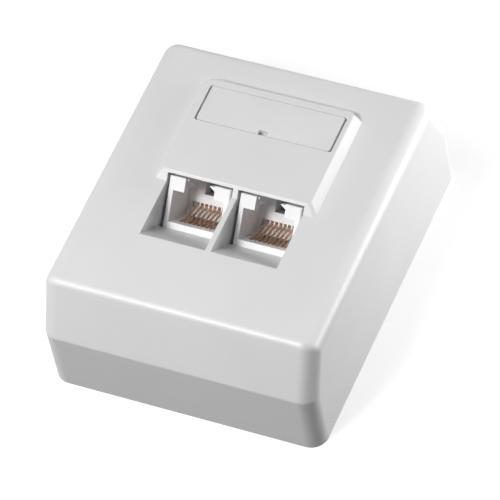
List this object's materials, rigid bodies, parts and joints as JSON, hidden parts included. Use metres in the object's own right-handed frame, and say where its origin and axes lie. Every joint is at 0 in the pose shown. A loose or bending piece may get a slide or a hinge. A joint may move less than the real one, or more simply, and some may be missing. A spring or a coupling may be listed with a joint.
{
  "type": "surface mount jack box",
  "caption": "Low white wall box with a sloped-end cover, a raised hood with a label window, and modular sockets tilted back in V notches over a screw-on base plate.",
  "frame": {"origin": "middle of the base's underside, which lies against the wall", "axes": "+Z out of the wall, +Y towards the label end, -Y towards the end that the ports face, +X to the right"},
  "size_m": [0.064, 0.08, 0.0316],
  "materials": {
    "housing_white": "fine satin moulded white",
    "base_white": "moulded white",
    "window_clear": "polished clear",
    "label_paper": "plain paper",
    "socket_white": "moulded white",
    "insert_white": "moulded off-white",
    "contact_gold": "gold-plated wire",
    "board_green": "solder mask over glass fibre",
    "terminal_ivory": "moulded ivory",
    "blade_tin": "tin-plated spring bronze",
    "carrier_grey": "moulded grey",
    "clamp_white": "moulded white",
    "screw_steel": "zinc-plated steel"
  },
  "bodies": {
    "box": {"base_plate": "base_white", "board_carrier": "carrier_grey", "board_screws": "screw_steel", "cable_clamp_left": "clamp_white", "cable_clamp_right": "clamp_white", "carrier_screws": "screw_steel", "circuit_board": "board_green", "clamp_screws": "screw_steel", "contact_insert_left": "insert_white", "contact_insert_right": "insert_white", "contact_set_left": "contact_gold", "contact_set_right": "contact_gold", "cover": "housing_white", "cover_screw": "screw_steel", "jack_housing_left": "socket_white", "jack_housing_right": "socket_white", "label_strip": "label_paper", "terminal_blades_left": "blade_tin", "terminal_blades_right": "blade_tin", "terminal_block_left": "terminal_ivory", "terminal_block_right": "terminal_ivory"},
    "window": {"label_window": "window_clear"}
  },
  "joints": [
    {"name": "window_lift", "type": "slide", "parent": "box", "child": "window", "axis": [0, 0, 1], "range_m": [0, 0.012]}
  ]
}
